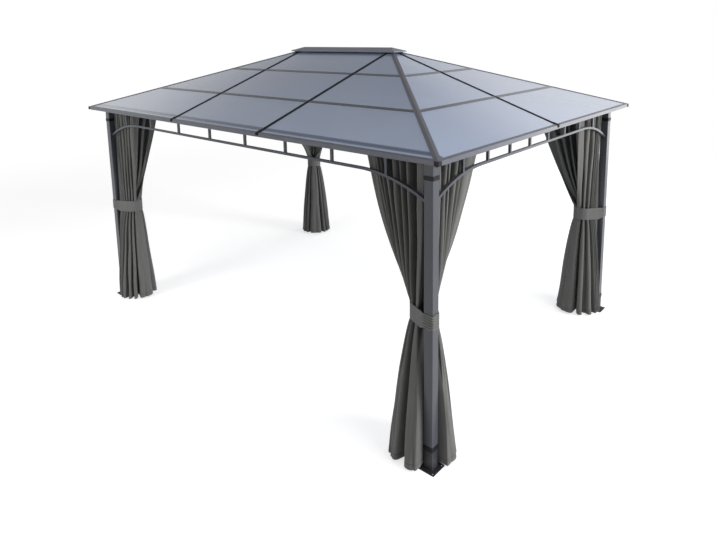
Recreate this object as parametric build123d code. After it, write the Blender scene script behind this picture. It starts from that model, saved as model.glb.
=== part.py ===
from build123d import *
import math
import os

# Metal gazebo: four posts, an open frieze with arched rails, a hipped panel roof and tied curtains.
# Millimetres, +Z up, X along the long side, origin on the ground under the centre of the plan.

# Plan and heights
post_pitch_x = 4000.0
post_pitch_y = 2850.0
eave_overhang = 150.0
eave_height = 2035.0
roof_rise = 543.0

# Clearances
seat_gap = 0.3
overrun = 40.0

# Feet: a base plate with a sleeve, and a spigot that the post slides over
plate_width = 130.0
plate_thickness = 5.0
plate_corner = 6.0
bolt_pitch = 100.0
bolt_hole_radius = 5.0
sleeve_top = 130.0
spigot_reach = 60.0
spigot_wall = 2.0

# Posts and collars
post_width = 65.0
post_wall = 1.5
post_corner = 4.0
collar_thickness = 3.0
lower_collar_height = 31.0
upper_collar_height = 27.0
upper_collar_drop = 150.0

# Eave beams, curtain tracks and the frieze below them
beam_width = 40.0
beam_height = 60.0
beam_wall = 1.5
track_width = 30.0
track_height = 18.0
track_wall = 1.5
track_slot = 8.0
track_drop = 3.0
rail_size = 18.0
rail_wall = 1.2
rail_drop = 147.0
arch_start = 560.0
arch_radius = 1080.0
spacer_size = 18.0
spacer_end = 341.0
spacers_per_side = 8

# Roof sheets and the bars that clamp them
panel_thickness = 5.0
panel_edge_gap = 2.0
bar_width = 25.0
bar_depth = 30.0
bar_wall = 1.5
bar_web = 6.0
bar_flange = 32.0
flange_thickness = 2.5
hip_width = 40.0
hip_depth = 40.0
hip_wall = 2.0
hip_web = 8.0
hip_flange = 44.0
panel_rows = 3

# Eave trim, its corner caps and the rafters' end tabs
trim_height = 25.0
trim_sheet = 2.5
trim_lip = 20.0
corner_cap_sheet = 2.0
corner_cap_length = 32.0
tab_sheet = 2.0
tab_lap = 25.0
tab_drop = 14.0

# Ridge: two joint hubs and a cap raised on small blocks
hub_flats = 120.0
hub_wall = 5.0
hub_height = 58.0
hub_drop = 24.0
ridge_cap_reach = 95.0
ridge_cap_lift = 22.0
ridge_cap_sheet = 2.0
ridge_cap_vent = 12.0
ridge_block_width = 20.0
ridge_block_depth = 16.0
ridge_block_gap = 3.0

# Curtains, drawn to the posts and tied at waist height in one bundle inside each corner
curtain_hem = 25.0
curtain_post_gap = 8.0
curtain_beam_gap = 1.0
curtain_pair_gap = 10.0
tie_bottom = 935.0
tie_height = 115.0
tie_thickness = 4.0
top_reach = 585.0
top_depth = 107.0
bundle_x = 135.0
bundle_y = 105.0
bundle_radius = 85.0
hem_x = 160.0
hem_y = 110.0
hem_radius = 222.0
long_fan_angles = (-118.0, -90.0, -52.0, -14.0, 42.0)
short_fan_angles = (-106.0, -80.0, -45.0, -8.0, 42.0)
long_tie_shares = (1.44, 1.0, 1.0, 1.0, 0.97)
short_tie_shares = (1.6, 1.05, 1.0, 1.0, 0.97)
hem_shares = (1.0, 1.0, 1.0, 1.0, 0.99)
top_shares = (0.15, 0.45, 1.0)
shoulder_share = 0.48
shin_share = 0.45
spread_power = 0.78
flare_power = 0.7

# Places worked out from the driving sizes
post_x = post_pitch_x / 2
post_y = post_pitch_y / 2
roof_x = post_x + eave_overhang
roof_y = post_y + eave_overhang
ridge_x = roof_x - roof_y
ridge_height = eave_height + roof_rise
pitch = math.atan2(roof_rise, roof_y)
slope_gain = math.tan(pitch)
slope_stretch = 1 / math.cos(pitch)
hip_lean = math.acos(math.cos(pitch) ** 2) / 2
bar_underside = (panel_thickness + bar_depth) * slope_stretch
beam_top = eave_height + (eave_overhang - beam_width / 2) * slope_gain - bar_underside - seat_gap
beam_bottom = beam_top - beam_height
track_bottom = beam_bottom + track_drop
tie_top = tie_bottom + tie_height
half_post = post_width / 2
row_run = roof_y / panel_rows
rail_top = eave_height - rail_drop
upper_collar_bottom = eave_height - upper_collar_drop


# Helpers
def block(x_span, y_span, z_span):
    """Box between three pairs of limits."""
    centre = [(low + high) / 2 for low, high in (x_span, y_span, z_span)]
    sizes = [high - low for low, high in (x_span, y_span, z_span)]
    return Pos(*centre) * Box(*sizes)


def square_tube(width, wall, corner):
    """Section of a square tube with rounded corners."""
    inner_corner = corner - wall
    inner_width = width - 2 * wall
    return RectangleRounded(width, width, corner) - RectangleRounded(inner_width, inner_width, inner_corner)


def left_and_right(piece):
    """The piece and its mirror image across the middle of the long side."""
    return [piece, mirror(piece, Plane.YZ)]


def front_and_back(piece):
    """The piece and its mirror image across the middle of the short side."""
    return [piece, mirror(piece, Plane.XZ)]


def at_corners(piece):
    """Copies of a front left piece at the four corners, by name."""
    front_left, front_right = left_and_right(piece)
    return {
        "front_left": front_left,
        "front_right": front_right,
        "back_left": mirror(front_left, Plane.XZ),
        "back_right": mirror(front_right, Plane.XZ),
    }


to_left = Rot(0, 0, -90)


# Roof frames: a slope as a plane at the eave, and the hip line from the front left corner
front_slope = Plane(
    origin=(0, -roof_y, eave_height),
    x_dir=(1, 0, 0),
    z_dir=(0, -math.sin(pitch), math.cos(pitch)),
)
left_slope = Plane(
    origin=(-roof_x, 0, eave_height),
    x_dir=(0, -1, 0),
    z_dir=(-math.sin(pitch), 0, math.cos(pitch)),
)
hip_plane = Plane(
    origin=(-roof_x, -roof_y, eave_height),
    x_dir=(-1, 1, 0),
    z_dir=(roof_y, roof_y, roof_rise),
)
hip_length = math.sqrt(2 * roof_y**2 + roof_rise**2)


def slope_patch(half_eave, u_span, run_span):
    """Field of a slope between two lines up it and two runs in from the eave, inside the hips."""
    width = u_span[1] - u_span[0]
    run = run_span[1] - run_span[0]
    centre_u = (u_span[0] + u_span[1]) / 2
    centre_run = (run_span[0] + run_span[1]) / 2
    field = Pos(centre_u, centre_run * slope_stretch) * Rectangle(width, run * slope_stretch)
    corners = [(-half_eave, 0), (half_eave, 0), (half_eave - roof_y, roof_y * slope_stretch)]
    if half_eave > roof_y:
        corners.append((roof_y - half_eave, roof_y * slope_stretch))
    return field & Polygon(*corners, align=None)


def slope_slab(plane, face, low, high):
    """Slab over a field of a slope, between two distances from the sheets' top face."""
    return extrude(plane.offset(low) * face, high - low)


def hip_slab(width):
    """Upright slabs along the four hips, as thick as the width."""
    half_tall = roof_rise
    section = Rectangle(width, 2 * half_tall)
    slab = extrude(hip_plane.offset(-overrun) * section, hip_length + overrun)
    return list(at_corners(slab).values())


def hub_block(flats):
    """Eight-sided blocks at the two ends of the ridge."""
    face = RegularPolygon(flats / 2, 8, major_radius=False, rotation=22.5)
    low = ridge_height - hub_drop - hub_height
    return left_and_right(extrude(Pos(-ridge_x, 0, low) * face, hub_height))


def hub_column(flats):
    """The hubs' outline carried through the whole roof, to trim what meets them."""
    face = RegularPolygon(flats / 2, 8, major_radius=False, rotation=22.5)
    return left_and_right(extrude(Pos(-ridge_x, 0, eave_height) * face, 2 * roof_rise))


def crown_section(lean, width, depth, wall, web, flange):
    """Section of a hip or ridge bar: a box below two leaning sheets, a web and a roofed flange."""
    fall = math.tan(lean)
    rise = 1 / math.cos(lean)

    def chevron(half, top, bottom):
        return Polygon(
            (-half, bottom - half * fall),
            (0, bottom),
            (half, bottom - half * fall),
            (half, top - half * fall),
            (0, top),
            (-half, top - half * fall),
            align=None,
        )

    def house(half, top, bottom):
        return Polygon(
            (-half, bottom), (half, bottom), (half, top - half * fall), (0, top), (-half, top - half * fall),
            align=None,
        )

    seat = -panel_thickness * rise
    box = house(width / 2, seat, seat - depth)
    box -= house(width / 2 - wall, seat - wall * rise, seat - depth + wall)
    stem = chevron(web / 2, 0, seat)
    cover = chevron(flange / 2, flange_thickness * rise, 0)
    return box + stem + cover


# Feet, posts, collars
def foot():
    """Base plate with four bolt holes, a sleeve as wide as the post and a spigot inside it."""
    holes = [Pos(x, y) * Circle(bolt_hole_radius) for x, y in
             [(sx * bolt_pitch / 2, sy * bolt_pitch / 2) for sx in (-1, 1) for sy in (-1, 1)]]
    plate = extrude(RectangleRounded(plate_width, plate_width, plate_corner) - holes, plate_thickness)
    sleeve = extrude(square_tube(post_width, post_wall, post_corner), sleeve_top)
    spigot_width = post_width - 2 * post_wall - 2 * seat_gap
    spigot_corner = post_corner - post_wall
    spigot = extrude(square_tube(spigot_width, spigot_wall, spigot_corner), sleeve_top + spigot_reach)
    joint_wall = post_wall + seat_gap + spigot_wall
    joint = extrude(square_tube(post_width, joint_wall, post_corner + spigot_wall), sleeve_top)
    return Pos(-post_x, -post_y) * (plate + sleeve + spigot + joint)


def post():
    """Square tube from the foot's sleeve to the underside of the hip bar."""
    top = eave_height + eave_overhang
    tube = extrude(square_tube(post_width, post_wall, post_corner), top - sleeve_top)
    underside = -panel_thickness / math.cos(hip_lean) - hip_depth - seat_gap
    above = Pos(0, underside + roof_rise / 2) * Rectangle(2 * plate_width, roof_rise)
    cutter = extrude(hip_plane.offset(-overrun) * above, hip_length)
    return Pos(-post_x, -post_y, sleeve_top) * tube - cutter


def collar(bottom, height):
    """Ring that closes round a post."""
    inner = post_width + 2 * seat_gap
    outer = inner + 2 * collar_thickness
    ring = RectangleRounded(outer, outer, post_corner + collar_thickness)
    ring -= RectangleRounded(inner, inner, post_corner)
    return Pos(-post_x, -post_y, bottom) * extrude(ring, height)


# One side of the open frame, built along the front
def beam(half_length, distance):
    """Eave beam between two posts."""
    section = Rectangle(beam_width, beam_height)
    section -= Rectangle(beam_width - 2 * beam_wall, beam_height - 2 * beam_wall)
    centre_z = (beam_top + beam_bottom) / 2
    start = Plane(origin=(-half_length, -distance, centre_z), x_dir=(0, 1, 0), z_dir=(1, 0, 0))
    return extrude(start * section, 2 * half_length)


def track(half_length, distance):
    """Slotted curtain track on the inner face of a beam."""
    section = Rectangle(track_width, track_height)
    section -= Rectangle(track_width - 2 * track_wall, track_height - 2 * track_wall)
    section -= Pos(0, -track_height / 2) * Rectangle(track_slot, 2 * track_wall + seat_gap)
    centre_y = -distance + beam_width / 2 + track_width / 2
    start = Plane(
        origin=(-half_length, centre_y, track_bottom + track_height / 2),
        x_dir=(0, 1, 0),
        z_dir=(1, 0, 0),
    )
    return extrude(start * section, 2 * half_length)


def rail_band(half_pitch, thickness):
    """Outline of the frieze rail: straight along the middle, bending down to the posts."""
    axis_z = rail_top - rail_size / 2
    half_straight = half_pitch - arch_start
    half_clear = half_pitch - half_post
    bend = arch_start - half_post
    ring = Circle(arch_radius + thickness / 2) - Circle(arch_radius - thickness / 2)
    window = Pos(-bend / 2, arch_radius) * Rectangle(bend, arch_radius)
    arch = Pos(-half_straight, axis_z - arch_radius) * (ring & window)
    straight = Pos(0, axis_z) * Rectangle(2 * half_straight, thickness)
    return straight + arch + mirror(arch, Plane.YZ)


def frieze_rail(half_pitch, distance):
    """Bent square tube under the spacers, from post to post."""
    front = Plane(origin=(0, -distance + rail_size / 2, 0), x_dir=(1, 0, 0), z_dir=(0, -1, 0))
    bore_size = rail_size - 2 * rail_wall
    tube = extrude(front * rail_band(half_pitch, rail_size), rail_size)
    bore = extrude(front.offset(rail_wall) * rail_band(half_pitch, bore_size), bore_size)
    return tube - bore


def frieze_spacers(half_pitch, distance):
    """Short square tubes between the rail and the beam, the end ones cut to the arch."""
    half_row = half_pitch - spacer_end
    step = 2 * half_row / (spacers_per_side - 1)
    lowest = rail_top - arch_start
    section = Rectangle(spacer_size, spacer_size)
    section -= Rectangle(spacer_size - 2 * rail_wall, spacer_size - 2 * rail_wall)
    axis_z = rail_top - rail_size / 2 - arch_radius
    half_straight = half_pitch - arch_start
    hollow = Pos(-half_straight, 0, axis_z) * (Rot(90, 0, 0) * Cylinder(
        arch_radius + rail_size / 2 + seat_gap, 2 * post_pitch_y + 2 * overrun))
    below_arch = left_and_right(hollow)
    below_rail = block((-half_straight, half_straight), (-roof_x, roof_x), (0, rail_top))
    pieces = []
    for index in range(spacers_per_side):
        x = -half_row + index * step
        spacer = Pos(x, -distance, lowest) * extrude(section, beam_bottom - lowest)
        pieces.append(spacer - below_rail - below_arch)
    return pieces


# One slope of the roof, built along the front
def slope_bar(plane, half_eave, u_spans, run_spans, hip_cut):
    """Bar that clamps the sheets: a box below them, a web between them and a flange over them."""
    box_u, web_u, flange_u = u_spans
    box_run, web_run, flange_run = run_spans
    seat = -panel_thickness
    box = slope_slab(plane, slope_patch(half_eave, box_u, box_run), seat - bar_depth, seat)
    stem = slope_slab(plane, slope_patch(half_eave, web_u, web_run), seat, 0)
    cover = slope_slab(plane, slope_patch(half_eave, flange_u, flange_run), 0, flange_thickness)
    if hip_cut:
        box -= hip_slab(hip_width)
        stem -= hip_slab(hip_web)
        cover -= hip_slab(hip_flange)
    return box + stem + cover


def around(centre, width):
    """Limits of a width about a centre line."""
    return (centre - width / 2, centre + width / 2)


trim_foot = corner_cap_sheet + trim_lip + seat_gap + flange_thickness * math.sin(pitch)
panel_foot = corner_cap_sheet + trim_sheet + panel_edge_gap
bar_bore_low = bar_wall - panel_thickness - bar_depth
bar_bore_high = -panel_thickness - bar_wall


def rafter_tab(u, eave_distance):
    """Tab at a rafter's foot, over the eave trim's flange and down its lip."""
    end = trim_foot + tab_lap
    low = eave_height - tab_drop
    rest = flange_thickness + seat_gap

    def level(run, offset):
        return (run, eave_height + run * slope_gain + offset * slope_stretch)

    section = Polygon(
        (0, low),
        (corner_cap_sheet, low),
        level(corner_cap_sheet, rest),
        level(trim_foot, rest),
        level(trim_foot, 0),
        level(end, 0),
        level(end, rest + tab_sheet),
        level(0, rest + tab_sheet),
        align=None,
    )
    start = Plane(origin=(u - bar_flange / 2, -eave_distance, 0), x_dir=(0, 1, 0), z_dir=(1, 0, 0))
    return extrude(start * section, bar_flange)


def rafters(plane, half_eave, lines):
    """Bars straight up a slope, from the eave trim to the hubs."""
    span = (trim_foot, roof_y)
    pieces = []
    for u in lines:
        u_spans = (around(u, bar_width), around(u, bar_web), around(u, bar_flange))
        bar = slope_bar(plane, half_eave + bar_width, u_spans, (span, span, span), False)
        bore_u = around(u, bar_width - 2 * bar_wall)
        bore_face = slope_patch(half_eave + bar_width, bore_u, (0, roof_y + bar_width))
        bore = slope_slab(plane, bore_face, bar_bore_low, bar_bore_high)
        pieces.append(bar - bore - hub_column(hub_flats))
    return pieces


def column_lines(half_eave, lines):
    """Limits of the columns between the rafters, out to the hips."""
    edges = [-half_eave, *lines, half_eave]
    return list(zip(edges[:-1], edges[1:]))


def inside(span, width, half_eave):
    """A column's limits drawn in by half a bar, except where it ends at a hip."""
    low = span[0] if span[0] == -half_eave else span[0] + width / 2
    high = span[1] if span[1] == half_eave else span[1] - width / 2
    return (low, high)


def purlins(plane, half_eave, lines):
    """Level bars between the rows of sheets, in lengths from rafter to rafter or hip."""
    pieces = []
    for row in range(1, panel_rows):
        run = row * row_run
        for column in column_lines(half_eave, lines):
            u_spans = [inside(column, width, half_eave) for width in (bar_width, bar_web, bar_flange)]
            run_spans = [around(run, width / slope_stretch) for width in (bar_width, bar_web, bar_flange)]
            bar = slope_bar(plane, half_eave, u_spans, run_spans, True)
            bore_run = around(run, (bar_width - 2 * bar_wall) / slope_stretch)
            bore_face = slope_patch(half_eave + bar_width, column, bore_run)
            bore = slope_slab(plane, bore_face, bar_bore_low, bar_bore_high)
            pieces.append(bar - bore)
    return pieces


def panels(plane, half_eave, lines):
    """Roof sheets in rows up a slope, with their edges between the bars' flanges."""
    side_gap = bar_web + 2 * panel_edge_gap
    pieces = []
    for row in range(panel_rows):
        low = row * row_run + side_gap / 2 if row else panel_foot
        high = (row + 1) * row_run - side_gap / 2
        if row == panel_rows - 1:
            high = roof_y - hip_web / 2 - panel_edge_gap - panel_thickness * math.sin(pitch)
        for column in column_lines(half_eave, lines):
            face = slope_patch(half_eave, inside(column, side_gap, half_eave), (low, high))
            sheet = slope_slab(plane, face, -panel_thickness, 0)
            sheet -= hip_slab(hip_web + 2 * panel_edge_gap)
            pieces.append(sheet - hub_column(hub_flats + 2 * panel_edge_gap))
    return pieces


def eave_trim(half_eave, eave_distance):
    """Trim along an eave: an upright lip with a shelf below the sheets and a flange above, mitred."""
    outer = corner_cap_sheet
    inner = corner_cap_sheet + trim_sheet
    reach = corner_cap_sheet + trim_lip

    def level(run, offset):
        return (run, eave_height + run * slope_gain + offset * slope_stretch)

    lip_bottom = eave_height - trim_height
    section = Polygon(
        (outer, lip_bottom),
        (inner, lip_bottom),
        level(inner, -panel_thickness - trim_sheet),
        level(reach, -panel_thickness - trim_sheet),
        level(reach, -panel_thickness),
        level(inner, -panel_thickness),
        level(inner, 0),
        level(reach, 0),
        level(reach, flange_thickness),
        level(outer, flange_thickness),
        align=None,
    )
    start = Plane(origin=(-half_eave, -eave_distance, 0), x_dir=(0, 1, 0), z_dir=(1, 0, 0))
    length = extrude(start * section, 2 * half_eave)
    depth = 2 * trim_lip
    wedge = Polygon(
        (-half_eave, 0), (half_eave, 0), (half_eave - depth, depth), (depth - half_eave, depth),
        align=None,
    )
    mitre = extrude(Pos(0, -eave_distance, eave_height - roof_rise) * wedge, 2 * roof_rise)
    return length & mitre


def corner_cap():
    """Folded cap over the mitre of two eave trims."""
    top = eave_height + flange_thickness * slope_stretch
    span_z = (eave_height - trim_height, top)
    long_leaf = block((-roof_x, -roof_x + corner_cap_length), (-roof_y, -roof_y + corner_cap_sheet), span_z)
    short_leaf = block((-roof_x, -roof_x + corner_cap_sheet), (-roof_y, -roof_y + corner_cap_length), span_z)
    return long_leaf + short_leaf


def hip_bar():
    """Bar up a hip, from the corner of the eave trim to the hub."""
    section = crown_section(hip_lean, hip_width, hip_depth, hip_wall, hip_web, hip_flange)
    bar = extrude(hip_plane.offset(-overrun) * section, hip_length + overrun)
    room = block(
        (-roof_x + trim_foot, roof_x - trim_foot),
        (-roof_y + trim_foot, roof_y - trim_foot),
        (0, 2 * ridge_height),
    )
    return (bar & room) - hub_column(hub_flats)


def ridge_bar():
    """Level bar along the ridge between the hubs."""
    section = crown_section(pitch, hip_width, hip_depth, hip_wall, hip_web, hip_flange)
    start = Plane(origin=(-ridge_x, 0, ridge_height), x_dir=(0, 1, 0), z_dir=(1, 0, 0))
    return extrude(start * section, 2 * ridge_x) - hub_column(hub_flats)


def ridge_hubs():
    """Eight-sided tubes where the ridge, hips and rafters meet."""
    return [outer - inner for outer, inner in zip(hub_block(hub_flats), hub_block(hub_flats - 2 * hub_wall))]


def hipped_form(reach, base, crest):
    """Small hipped roof form over the ridge with upright rims."""
    rim = crest - reach * slope_gain
    half_length = ridge_x + reach
    gable = Polygon((-reach, base), (reach, base), (reach, rim), (0, crest), (-reach, rim), align=None)
    flank = Polygon(
        (-half_length, base), (half_length, base), (half_length, rim), (ridge_x, crest), (-ridge_x, crest),
        (-half_length, rim),
        align=None,
    )
    along = Plane(origin=(-half_length, 0, 0), x_dir=(0, 1, 0), z_dir=(1, 0, 0))
    across = Plane(origin=(0, reach, 0), x_dir=(1, 0, 0), z_dir=(0, -1, 0))
    return extrude(along * gable, 2 * half_length) & extrude(across * flank, 2 * reach)


def ridge_cap():
    """Raised sheet cap over the ridge, with an open gap below its rims."""
    inner_reach = ridge_cap_reach - ridge_cap_sheet
    base = ridge_height - inner_reach * slope_gain + flange_thickness * slope_stretch + ridge_cap_vent
    inner_crest = ridge_height + ridge_cap_lift
    crest = inner_crest + ridge_cap_sheet * slope_stretch
    return hipped_form(ridge_cap_reach, base, crest) - hipped_form(inner_reach, base - overrun, inner_crest)


def ridge_blocks():
    """Small blocks on the sheets beside a hip, which carry the cap."""
    outer = ridge_cap_reach - ridge_cap_sheet - seat_gap
    inner = outer - ridge_block_depth
    near = hip_flange / 2 * math.sqrt(2) + ridge_block_gap - inner
    far = near + ridge_block_width
    heights = (eave_height, ridge_height + ridge_cap_lift)
    below_cap = hipped_form(ridge_cap_reach, 0, ridge_height + ridge_cap_lift - seat_gap)
    on_long = block((near - ridge_x, far - ridge_x), (-outer, -inner), heights)
    on_short = block((-ridge_x - outer, -ridge_x - inner), (near, far), heights)
    long_field = slope_patch(roof_x, (-roof_x, roof_x), (0, roof_y))
    short_field = slope_patch(roof_y, (-roof_y, roof_y), (0, roof_y))
    on_long -= slope_slab(front_slope, long_field, -roof_rise, seat_gap)
    on_short -= slope_slab(left_slope, short_field, -roof_rise, seat_gap)
    return [on_long & below_cap, on_short & below_cap]


# Curtains and ties, built at the front left corner, along and across one side
def fan_outline(centre, radius, angles, shares):
    """Outline of a curtain's half of the bundle, from beside the post round to the pair's gap."""
    along, across = centre
    near = half_post + curtain_post_gap
    points = [(near, near - along + across - curtain_pair_gap / 2)]
    for angle, share in zip(angles, shares):
        turn = math.radians(angle)
        points.append((along + radius * share * math.cos(turn), across + radius * share * math.sin(turn)))
    return points


def strip_outline():
    """Outline of a curtain's pleats under the track."""
    near = half_post + curtain_post_gap
    outside = beam_width / 2 + curtain_beam_gap
    inside_face = outside + top_depth
    spread = top_reach - near
    points = [(near, outside)]
    points += [(near + share * spread, outside) for share in top_shares]
    points.append((top_reach, inside_face))
    points.append((inside_face + curtain_pair_gap, inside_face))
    return points


def between(low, high, share):
    """Outline at a share of the way from one outline to another."""
    return [tuple(a + share * (b - a) for a, b in zip(p, q)) for p, q in zip(low, high)]


def curtain(tie_centre, hem_centre, angles, tie_shares):
    """Tied curtain as one soft hourglass, along and across its side."""
    hem = fan_outline(hem_centre, hem_radius, angles, hem_shares)
    tie = fan_outline(tie_centre, bundle_radius, angles, tie_shares)
    top = strip_outline()
    shin_z = curtain_hem + (1 - shin_share) * (tie_bottom - curtain_hem)
    shoulder_z = tie_top + shoulder_share * (track_bottom - tie_top)
    stations = (
        (curtain_hem, hem),
        (shin_z, between(tie, hem, shin_share**flare_power)),
        (tie_bottom, tie),
        (tie_top, tie),
        (shoulder_z, between(tie, top, shoulder_share**spread_power)),
        (track_bottom, top),
    )
    faces = [Pos(0, 0, height) * Polygon(*outline, align=None) for height, outline in stations]
    return loft(faces, ruled=True)


def corner_curtains():
    """The long side's curtain and the short side's curtain at one post."""
    long_side = curtain((bundle_x, bundle_y), (hem_x, hem_y), long_fan_angles, long_tie_shares)
    short_side = curtain((bundle_y, bundle_x), (hem_y, hem_x), short_fan_angles, short_tie_shares)
    short_side = mirror(short_side, Plane(origin=(0, 0, 0), z_dir=(1, -1, 0)))
    return [Pos(-post_x, -post_y) * piece for piece in (long_side, short_side)]


def tie_strap():
    """Band pulled tight round a post and the bundle of its two curtains."""
    post_face = Rectangle(post_width + 2 * seat_gap, post_width + 2 * seat_gap)
    bundle_face = Pos(bundle_x, bundle_y) * Circle(bundle_radius + seat_gap)
    loop = make_hull(post_face.edges() + bundle_face.edges())
    band = offset(loop, tie_thickness) - loop
    return Pos(-post_x, -post_y, tie_bottom) * extrude(band, tie_height)


# Nodes by name
nodes = {}
for corner, piece in at_corners(foot()).items():
    nodes[f"{corner}_foot"] = [piece]
for corner, piece in at_corners(post()).items():
    nodes[f"{corner}_post"] = [piece]
nodes["lower_collars"] = list(at_corners(collar(sleeve_top, lower_collar_height)).values())
nodes["upper_collars"] = list(at_corners(collar(upper_collar_bottom, upper_collar_height)).values())

long_lines = (-ridge_x, ridge_x)
short_lines = (0.0,)
long_track = post_x - beam_width / 2 - track_width
short_track = post_y - half_post
front_pieces = {
    "beam": [beam(post_x - half_post, post_y)],
    "frieze_rail": [frieze_rail(post_x, post_y)],
    "eave_trim": [eave_trim(roof_x, roof_y)],
    "roof_panels": panels(front_slope, roof_x, long_lines),
}
left_pieces = {
    "beam": [to_left * beam(post_y - half_post, post_x)],
    "frieze_rail": [to_left * frieze_rail(post_y, post_x)],
    "eave_trim": [to_left * eave_trim(roof_y, roof_x)],
    "roof_panels": panels(left_slope, roof_y, short_lines),
}
for kind in front_pieces:
    front_and_back_pairs = [front_and_back(piece) for piece in front_pieces[kind]]
    left_and_right_pairs = [left_and_right(piece) for piece in left_pieces[kind]]
    nodes[f"front_{kind}"] = [pair[0] for pair in front_and_back_pairs]
    nodes[f"back_{kind}"] = [pair[1] for pair in front_and_back_pairs]
    nodes[f"left_{kind}"] = [pair[0] for pair in left_and_right_pairs]
    nodes[f"right_{kind}"] = [pair[1] for pair in left_and_right_pairs]


def on_both(pieces, pair):
    """Pieces of one side and of the side across from it."""
    return [copy for piece in pieces for copy in pair(piece)]


nodes["long_side_spacers"] = on_both(frieze_spacers(post_x, post_y), front_and_back)
short_spacers = [to_left * piece for piece in frieze_spacers(post_y, post_x)]
nodes["short_side_spacers"] = on_both(short_spacers, left_and_right)
nodes["long_side_purlins"] = on_both(purlins(front_slope, roof_x, long_lines), front_and_back)
nodes["short_side_purlins"] = on_both(purlins(left_slope, roof_y, short_lines), left_and_right)
long_rafters = rafters(front_slope, roof_x, long_lines)
long_rafters = [bar + rafter_tab(u, roof_y) for bar, u in zip(long_rafters, long_lines)]
short_rafters = rafters(left_slope, roof_y, short_lines)
short_rafters = [bar + to_left * rafter_tab(u, roof_x) for bar, u in zip(short_rafters, short_lines)]
nodes["rafters"] = on_both(long_rafters, front_and_back) + on_both(short_rafters, left_and_right)
nodes["curtain_tracks"] = on_both([track(long_track, post_y)], front_and_back)
nodes["curtain_tracks"] += on_both([to_left * track(short_track, post_x)], left_and_right)

for corner, piece in at_corners(hip_bar()).items():
    nodes[f"{corner}_hip_bar"] = [piece]
nodes["eave_corner_caps"] = list(at_corners(corner_cap()).values())
nodes["ridge_bar"] = [ridge_bar()]
nodes["ridge_hubs"] = ridge_hubs()
nodes["ridge_cap"] = [ridge_cap()]
nodes["ridge_blocks"] = [copy for piece in ridge_blocks() for copy in at_corners(piece).values()]

curtain_pairs = [at_corners(piece) for piece in corner_curtains()]
for corner in curtain_pairs[0]:
    nodes[f"{corner}_curtains"] = [pair[corner] for pair in curtain_pairs]
nodes["tie_straps"] = list(at_corners(tie_strap()).values())

os.makedirs("parts", exist_ok=True)
for name, pieces in nodes.items():
    solids = [solid for piece in pieces for solid in piece.solids()]
    shape = solids[0] if len(solids) == 1 else Compound(children=solids)
    export_step(shape, os.path.join("parts", f"{name}.step"))
    print(name, len(solids))
print("nodes", len(nodes))
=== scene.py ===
# %% [markdown]
# # A metal gazebo with a tinted sheet roof and tied curtains
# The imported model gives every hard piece: feet, posts, arched rails, roof bars and sheets.
# This lesson gives those pieces their finishes, hangs real folded curtains in place of the plain
# solids that stand for them, and sets up a plain studio.

# %% Load the frame
import math

import bmesh
import bpy
from mathutils import Matrix, Vector, noise


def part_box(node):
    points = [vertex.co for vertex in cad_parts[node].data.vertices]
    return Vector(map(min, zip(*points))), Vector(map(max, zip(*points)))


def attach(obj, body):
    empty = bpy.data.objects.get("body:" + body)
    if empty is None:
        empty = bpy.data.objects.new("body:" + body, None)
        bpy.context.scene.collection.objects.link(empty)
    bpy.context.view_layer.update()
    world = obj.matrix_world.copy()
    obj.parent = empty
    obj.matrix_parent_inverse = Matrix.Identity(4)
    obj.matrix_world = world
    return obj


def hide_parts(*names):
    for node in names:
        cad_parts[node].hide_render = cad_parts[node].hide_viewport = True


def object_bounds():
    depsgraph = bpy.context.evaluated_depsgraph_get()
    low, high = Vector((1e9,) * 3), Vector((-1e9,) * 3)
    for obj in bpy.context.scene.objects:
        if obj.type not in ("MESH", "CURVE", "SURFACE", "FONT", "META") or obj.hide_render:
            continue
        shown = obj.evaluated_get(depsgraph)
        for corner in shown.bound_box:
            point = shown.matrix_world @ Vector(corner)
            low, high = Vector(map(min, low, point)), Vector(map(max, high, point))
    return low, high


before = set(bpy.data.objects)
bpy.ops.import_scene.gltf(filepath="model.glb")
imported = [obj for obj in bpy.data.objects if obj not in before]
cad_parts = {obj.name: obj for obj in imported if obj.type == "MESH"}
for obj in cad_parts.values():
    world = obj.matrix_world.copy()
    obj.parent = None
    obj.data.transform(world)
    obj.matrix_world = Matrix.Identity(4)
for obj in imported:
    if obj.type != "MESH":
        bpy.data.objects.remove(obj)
cad_low, cad_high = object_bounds()
print("pieces in the frame:", len(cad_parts))

# %% [markdown]
# ## Places that the frame gives
# The curtains hang beside the posts, so the first thing to know is where each post stands. Reading
# that from the frame, and not typing it again, keeps the cloth in place if the frame ever changes.

# %% Corners and heights
MM = 0.001
CORNERS = {"front_left": (-1, -1), "front_right": (1, -1), "back_left": (-1, 1), "back_right": (1, 1)}


def middle(node):
    """Centre of a frame piece's box."""
    low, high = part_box(node)
    return (low + high) / 2


POST_AT = {corner: middle(f"{corner}_post") for corner in CORNERS}
post_low, post_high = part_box("front_right_post")
HALF_POST = (post_high.x - post_low.x) / 2
TRACK_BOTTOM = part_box("curtain_tracks")[0].z
TIE_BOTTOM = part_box("tie_straps")[0].z
TIE_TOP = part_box("tie_straps")[1].z
print("post half width", round(HALF_POST, 4), "track at", round(TRACK_BOTTOM, 3))

# %% [markdown]
# ## Helpers for materials
# Colours are easiest to judge as the hex values that a paint card shows, but shaders want linear
# light, so one function converts them. A second one adds a node, sets it and links it in one line,
# which keeps a material short enough to read from top to bottom.


# %% Colour and node helpers
def to_linear(hex_colour):
    """An sRGB hex colour as linear red, green, blue and alpha."""
    values = [int(hex_colour[i:i + 2], 16) / 255 for i in (1, 3, 5)]
    linear = [v / 12.92 if v <= 0.04045 else ((v + 0.055) / 1.055) ** 2.4 for v in values]
    return (*linear, 1.0)


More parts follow.
